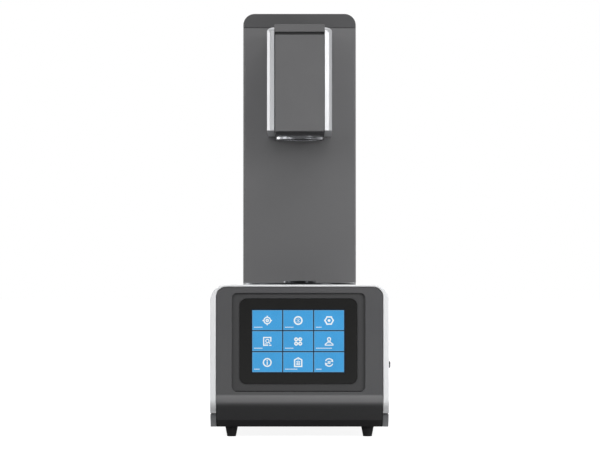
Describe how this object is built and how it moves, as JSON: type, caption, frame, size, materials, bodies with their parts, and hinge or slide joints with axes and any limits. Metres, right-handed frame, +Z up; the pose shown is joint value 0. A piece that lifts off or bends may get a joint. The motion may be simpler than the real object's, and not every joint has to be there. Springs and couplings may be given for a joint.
{
  "type": "light transmittance meter",
  "caption": "Benchtop light transmittance meter: touch screen base with a rolled chin, polished round stage with a lift-out port ring, and a lamp head on a flat column.",
  "frame": {"origin": "on the bench under the middle of the base's plan outline, level with the feet", "axes": "+X to the right seen from the front, +Y to the rear, +Z up; the screen faces -Y"},
  "size_m": [0.2175, 0.31, 0.5285],
  "materials": {
    "white_paint": "satin powder coat, fine grain",
    "skirt_paint": "satin powder coat",
    "fascia_plastic": "fine matt texture, dark grey",
    "screen_glass": "polished, printed black border",
    "lit_panel": "lit panel behind the glass",
    "column_paint": "satin powder coat, dark grey",
    "side_cover_metal": "bead blasted and clear anodised",
    "head_paint": "satin, dark grey",
    "plate_paint": "satin black",
    "polished_steel": "turned and polished",
    "button_metal": "turned, satin",
    "foot_rubber": "moulded rubber, matt",
    "fastener_steel": "zinc plated",
    "sheet_steel": "plain sheet",
    "frame_metal": "machined",
    "sphere_metal": "turned outside, white inside",
    "black_metal": "black anodised",
    "sink_metal": "extruded",
    "optical_glass": "polished, coated",
    "board_green": "circuit board",
    "board_white": "lamp board",
    "socket_plastic": "moulded"
  },
  "bodies": {
    "instrument": {"arm_bolts": "fastener_steel", "board_screws": "fastener_steel", "bottom_tray": "skirt_paint", "bracket_screws": "fastener_steel", "button_bezel": "button_metal", "button_nut": "fastener_steel", "column_cap": "column_paint", "column_front": "column_paint", "column_rear": "column_paint", "column_spine": "frame_metal", "condenser_lens": "optical_glass", "cover_glass": "screen_glass", "cover_screws": "fastener_steel", "data_socket": "socket_plastic", "deck_pillars": "frame_metal", "deck_plate": "frame_metal", "detector_housing": "black_metal", "display_bracket": "sheet_steel", "display_panel": "lit_panel", "foot_studs": "fastener_steel", "front_fascia": "fascia_plastic", "front_left_foot": "foot_rubber", "front_right_foot": "foot_rubber", "head_arm": "frame_metal", "head_bottom_plate": "plate_paint", "head_front_cover": "head_paint", "head_housing": "head_paint", "head_screws": "fastener_steel", "head_side_left": "side_cover_metal", "head_side_right": "side_cover_metal", "heat_sink": "sink_metal", "lamp_board": "board_white", "lamp_holder": "black_metal", "lens_barrel": "polished_steel", "lens_retainer": "black_metal", "light_trap": "black_metal", "main_board": "board_green", "objective_lens": "optical_glass", "outer_shell": "white_paint", "pillar_screws": "fastener_steel", "power_jack": "socket_plastic", "rear_left_foot": "foot_rubber", "rear_panel": "plate_paint", "rear_right_foot": "foot_rubber", "rear_screws": "fastener_steel", "sphere_lower": "sphere_metal", "sphere_screws": "fastener_steel", "sphere_upper": "sphere_metal", "spine_bolts": "fastener_steel", "stage_plate": "polished_steel", "stage_screws": "fastener_steel", "switch_body": "socket_plastic"},
    "button": {"power_button": "button_metal"},
    "ring": {"port_ring": "polished_steel"}
  },
  "joints": [
    {"name": "button_press", "type": "slide", "parent": "instrument", "child": "button", "axis": [-1, 0, 0], "range_m": [0, 0.0015], "stiffness_N_per_m": 400},
    {"name": "ring_lift", "type": "slide", "parent": "instrument", "child": "ring", "axis": [0, 0, 1], "range_m": [0, 0.03]}
  ]
}
